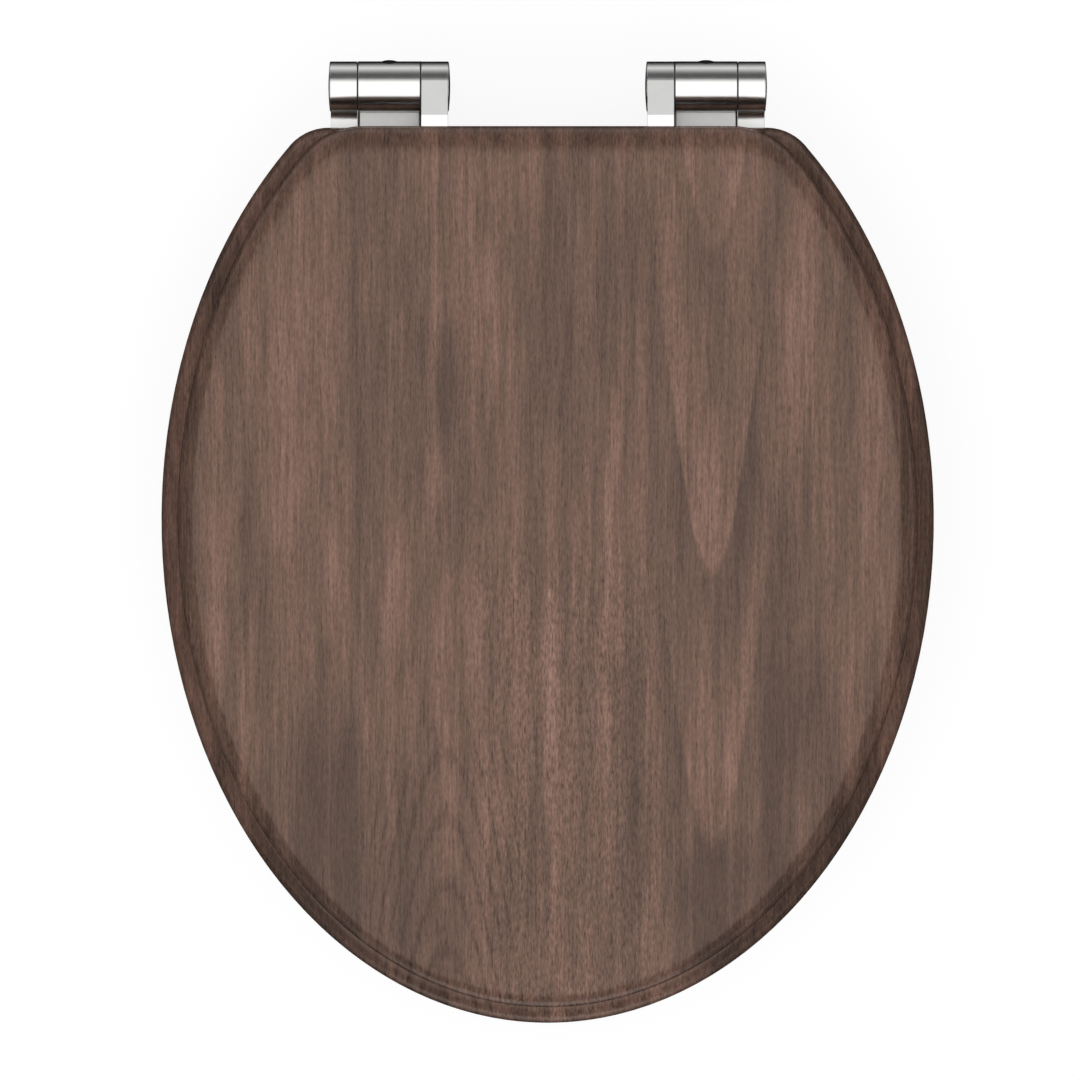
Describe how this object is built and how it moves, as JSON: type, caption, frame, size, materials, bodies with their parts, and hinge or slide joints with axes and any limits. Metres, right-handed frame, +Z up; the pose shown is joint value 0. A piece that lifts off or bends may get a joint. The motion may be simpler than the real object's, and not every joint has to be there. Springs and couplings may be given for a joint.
{
  "type": "toilet seat",
  "caption": "Oval walnut-look toilet seat: a rounded lid on a slightly larger ring, on chrome barrel hinges with soft-close dampers, release buttons and threaded fixing posts.",
  "frame": {"origin": "midway between the two fixing studs, on the bowl's top face under the hinge axis", "axes": "+Z up, +Y to the back of the bowl, +X to the right seen from above with the hinges at the far side"},
  "size_m": [0.3782, 0.4714, 0.1095],
  "materials": {
    "walnut": "satin walnut-look film on fibreboard",
    "chrome": "polished chrome plate on die-cast zinc",
    "steel": "turned stainless steel",
    "screw_zinc": "bright zinc-plated screws",
    "buffer_rubber": "soft dark grey rubber",
    "gasket_rubber": "black rubber",
    "nylon": "natural nylon",
    "black_plastic": "black acetal"
  },
  "bodies": {
    "base": {"left_housing": "chrome", "left_gasket": "gasket_rubber", "left_post": "steel", "left_cone_washer": "nylon", "left_wing_nut": "nylon", "left_damper": "black_plastic", "left_pivot_pin": "steel", "left_outer_washer": "black_plastic", "left_inner_washer": "black_plastic", "left_spring": "steel", "right_housing": "chrome", "right_gasket": "gasket_rubber", "right_post": "steel", "right_cone_washer": "nylon", "right_wing_nut": "nylon", "right_damper": "black_plastic", "right_pivot_pin": "steel", "right_outer_washer": "black_plastic", "right_inner_washer": "black_plastic", "right_spring": "steel"},
    "ring": {"seat_ring": "walnut", "left_ring_arm": "chrome", "left_outer_bush": "nylon", "left_outer_cap": "chrome", "right_ring_arm": "chrome", "right_outer_bush": "nylon", "right_outer_cap": "chrome", "ring_buffer_front_left": "buffer_rubber", "ring_buffer_front_right": "buffer_rubber", "ring_buffer_back_left": "buffer_rubber", "ring_buffer_back_right": "buffer_rubber", "ring_arm_screws": "screw_zinc", "right_damper_shaft": "steel"},
    "lid": {"lid": "walnut", "left_lid_arm": "chrome", "left_inner_bush": "nylon", "left_inner_cap": "chrome", "right_lid_arm": "chrome", "right_inner_bush": "nylon", "right_inner_cap": "chrome", "lid_buffer_left": "buffer_rubber", "lid_buffer_right": "buffer_rubber", "lid_arm_screws": "screw_zinc", "left_damper_shaft": "steel"},
    "left_release": {"left_button": "black_plastic", "left_latch": "steel"},
    "right_release": {"right_button": "black_plastic", "right_latch": "steel"}
  },
  "joints": [
    {"name": "ring_hinge", "type": "hinge", "parent": "base", "child": "ring", "pos_m": [0, 0, 0.0154], "axis": [-1, 0, 0], "range_deg": [0, 100]},
    {"name": "lid_hinge", "type": "hinge", "parent": "ring", "child": "lid", "pos_m": [0, 0, 0.0154], "axis": [-1, 0, 0], "range_deg": [0, 100]},
    {"name": "left_button_press", "type": "slide", "parent": "base", "child": "left_release", "axis": [0, -1, 0], "range_m": [0, 0.0018], "stiffness_N_per_m": 900, "deforming": ["left_spring"]},
    {"name": "right_button_press", "type": "slide", "parent": "base", "child": "right_release", "axis": [0, -1, 0], "range_m": [0, 0.0018], "stiffness_N_per_m": 900, "deforming": ["right_spring"]}
  ]
}
